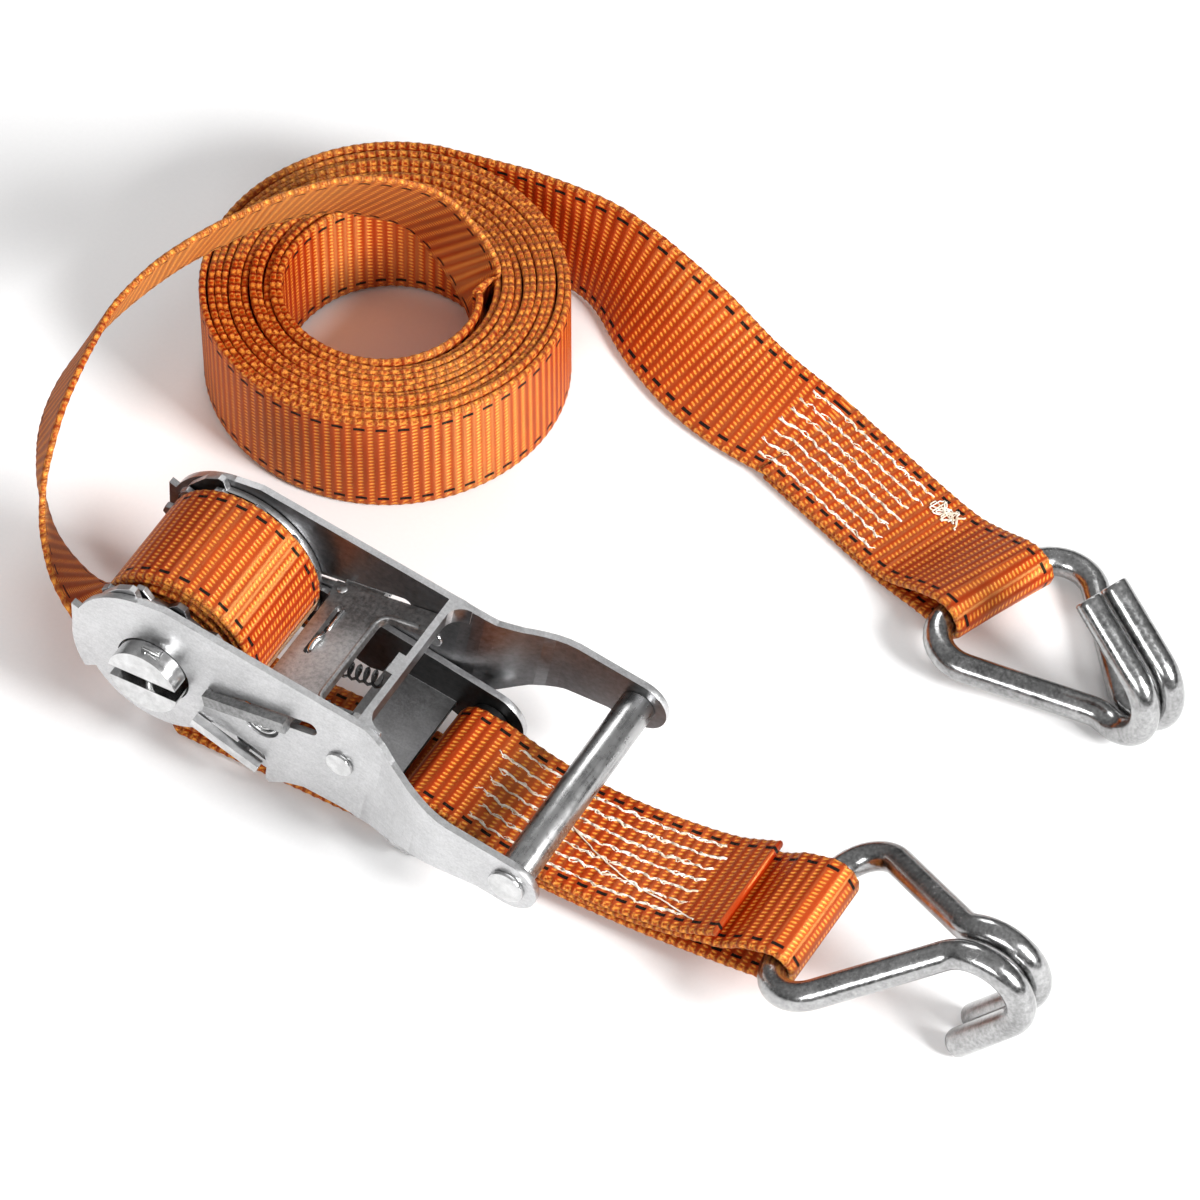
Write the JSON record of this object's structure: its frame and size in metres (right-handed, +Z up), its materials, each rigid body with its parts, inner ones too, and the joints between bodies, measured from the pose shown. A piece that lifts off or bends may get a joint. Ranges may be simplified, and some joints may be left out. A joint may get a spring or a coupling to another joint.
{
  "type": "ratchet tie down",
  "caption": "Ratchet tie down: pressed steel ratchet buckle, wound webbing strap with a flat coil, short sewn strap and two wire claw hooks.",
  "frame": {"origin": "middle of the object's footprint on the table it lies on", "axes": "+X from the drum towards the hooks, +Y from the ratchet towards the coil, +Z up"},
  "size_m": [0.3285, 0.2162, 0.0698],
  "materials": {
    "webbing": "matt woven polyester",
    "thread": "matt sewing thread",
    "zinc_steel": "satin zinc plating",
    "dark_steel": "oiled steel",
    "chrome_steel": "bright zinc plating"
  },
  "bodies": {
    "ratchet_base": {"base_frame": "zinc_steel", "anchor_bolt": "chrome_steel", "anchor_nut": "zinc_steel", "anchor_washers": "zinc_steel", "lock_pawl_spring": "dark_steel", "strap_lead": "webbing", "webbing_coil": "webbing", "strap_long": "webbing", "wear_flap": "webbing", "stitching_long": "thread"},
    "drum": {"ratchet_wheel_near": "zinc_steel", "ratchet_wheel_far": "zinc_steel", "spindle_upper": "zinc_steel", "spindle_lower": "zinc_steel", "split_pins": "chrome_steel", "webbing_roll": "webbing"},
    "handle": {"handle_frame": "zinc_steel", "grip_tube": "zinc_steel", "grip_rivet": "zinc_steel", "side_rivets": "zinc_steel", "drive_pawl_spring": "dark_steel"},
    "drive_pawl": {"drive_pawl": "zinc_steel"},
    "lock_pawl": {"lock_pawl": "zinc_steel"},
    "sleeve": {"anchor_sleeve": "dark_steel"},
    "short_strap": {"strap_short": "webbing", "stitching_short": "thread"},
    "hook_a": {"hook_short": "chrome_steel"},
    "hook_b": {"hook_long": "chrome_steel"}
  },
  "joints": [
    {"name": "handle_hinge", "type": "hinge", "parent": "ratchet_base", "child": "handle", "pos_m": [-0.0865, -0.0717, 0.034], "axis": [0, -1, 0], "range_deg": [0, 125]},
    {"name": "drum_spin", "type": "hinge", "parent": "ratchet_base", "child": "drum", "pos_m": [-0.0865, -0.0717, 0.034], "axis": [0, 1, 0], "continuous": true},
    {"name": "drive_pawl_slide", "type": "slide", "parent": "handle", "child": "drive_pawl", "axis": [0.9877, 0, 0.1564], "range_m": [0, 0.005], "stiffness_N_per_m": 400, "springref_m": -0.01, "deforming": ["drive_pawl_spring"]},
    {"name": "lock_pawl_slide", "type": "slide", "parent": "ratchet_base", "child": "lock_pawl", "axis": [0.9298, 0, -0.3681], "range_m": [0, 0.004], "stiffness_N_per_m": 400, "springref_m": -0.01, "deforming": ["lock_pawl_spring"]},
    {"name": "sleeve_spin", "type": "hinge", "parent": "ratchet_base", "child": "sleeve", "pos_m": [-0.01093, -0.0717, 0.01052], "axis": [0, 1, 0], "continuous": true},
    {"name": "short_strap_swing", "type": "hinge", "parent": "ratchet_base", "child": "short_strap", "pos_m": [-0.01093, -0.0717, 0.01052], "axis": [0, -1, 0], "range_deg": [0, 8]},
    {"name": "short_hook_swing", "type": "hinge", "parent": "short_strap", "child": "hook_a", "pos_m": [0.0962, -0.0738, 0.019], "axis": [0.0174, -0.9998, 0], "range_deg": [0, 120]},
    {"name": "long_hook_swing", "type": "hinge", "parent": "ratchet_base", "child": "hook_b", "pos_m": [0.0827, 0.0559, 0.0081], "axis": [-0.3449, -0.9346, 0.087], "range_deg": [0, 110]}
  ]
}
